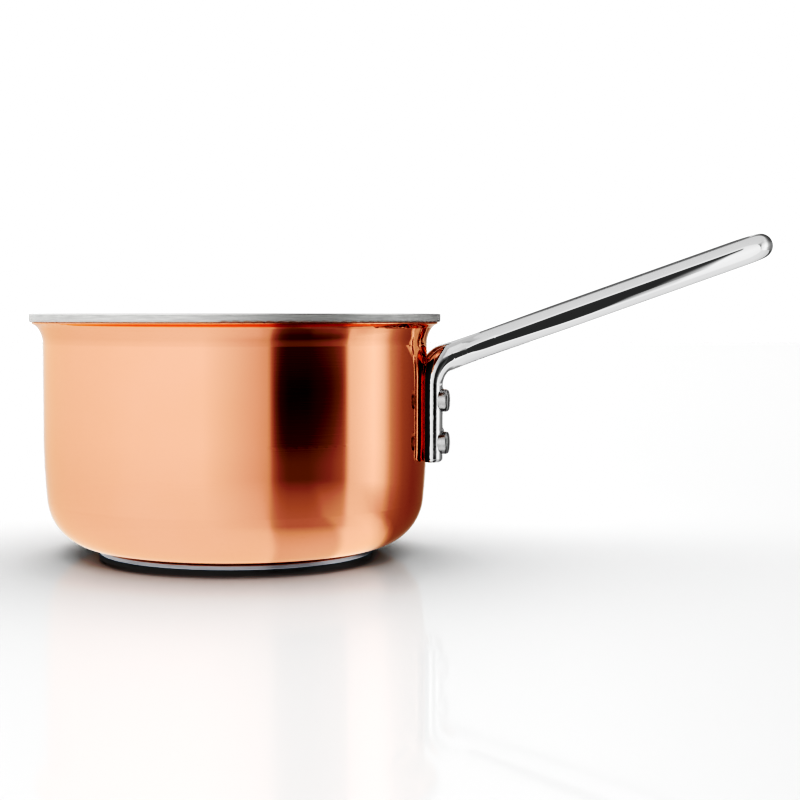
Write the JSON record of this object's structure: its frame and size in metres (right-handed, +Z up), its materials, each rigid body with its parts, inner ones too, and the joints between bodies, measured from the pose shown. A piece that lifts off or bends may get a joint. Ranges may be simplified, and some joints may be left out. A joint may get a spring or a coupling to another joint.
{
  "type": "saucepan",
  "caption": "Small straight-sided saucepan of copper over an aluminium core, with a flared rim, a steel base disc and a long riveted steel loop handle.",
  "frame": {"origin": "on the pan's axis, in the plane it stands on", "axes": "+Z up along the pan's axis, +X from the axis along the handle, +Y to the left of the handle"},
  "size_m": [0.3236, 0.1788, 0.1387],
  "materials": {
    "copper": "mirror-polished copper with fine lathe lines round the wall",
    "aluminium": "turned on the rim, with fine concentric lines",
    "lining_steel": "satin, brushed round the wall",
    "base_steel": "ground flat, with concentric lines",
    "handle_steel": "bright polished",
    "rivet_steel": "polished, slightly duller than the handle"
  },
  "bodies": {
    "root": {"base_plate": "base_steel", "copper_shell": "copper", "aluminium_core": "aluminium", "inner_lining": "lining_steel", "handle_loop": "handle_steel", "rivets": "rivet_steel"}
  },
  "joints": []
}
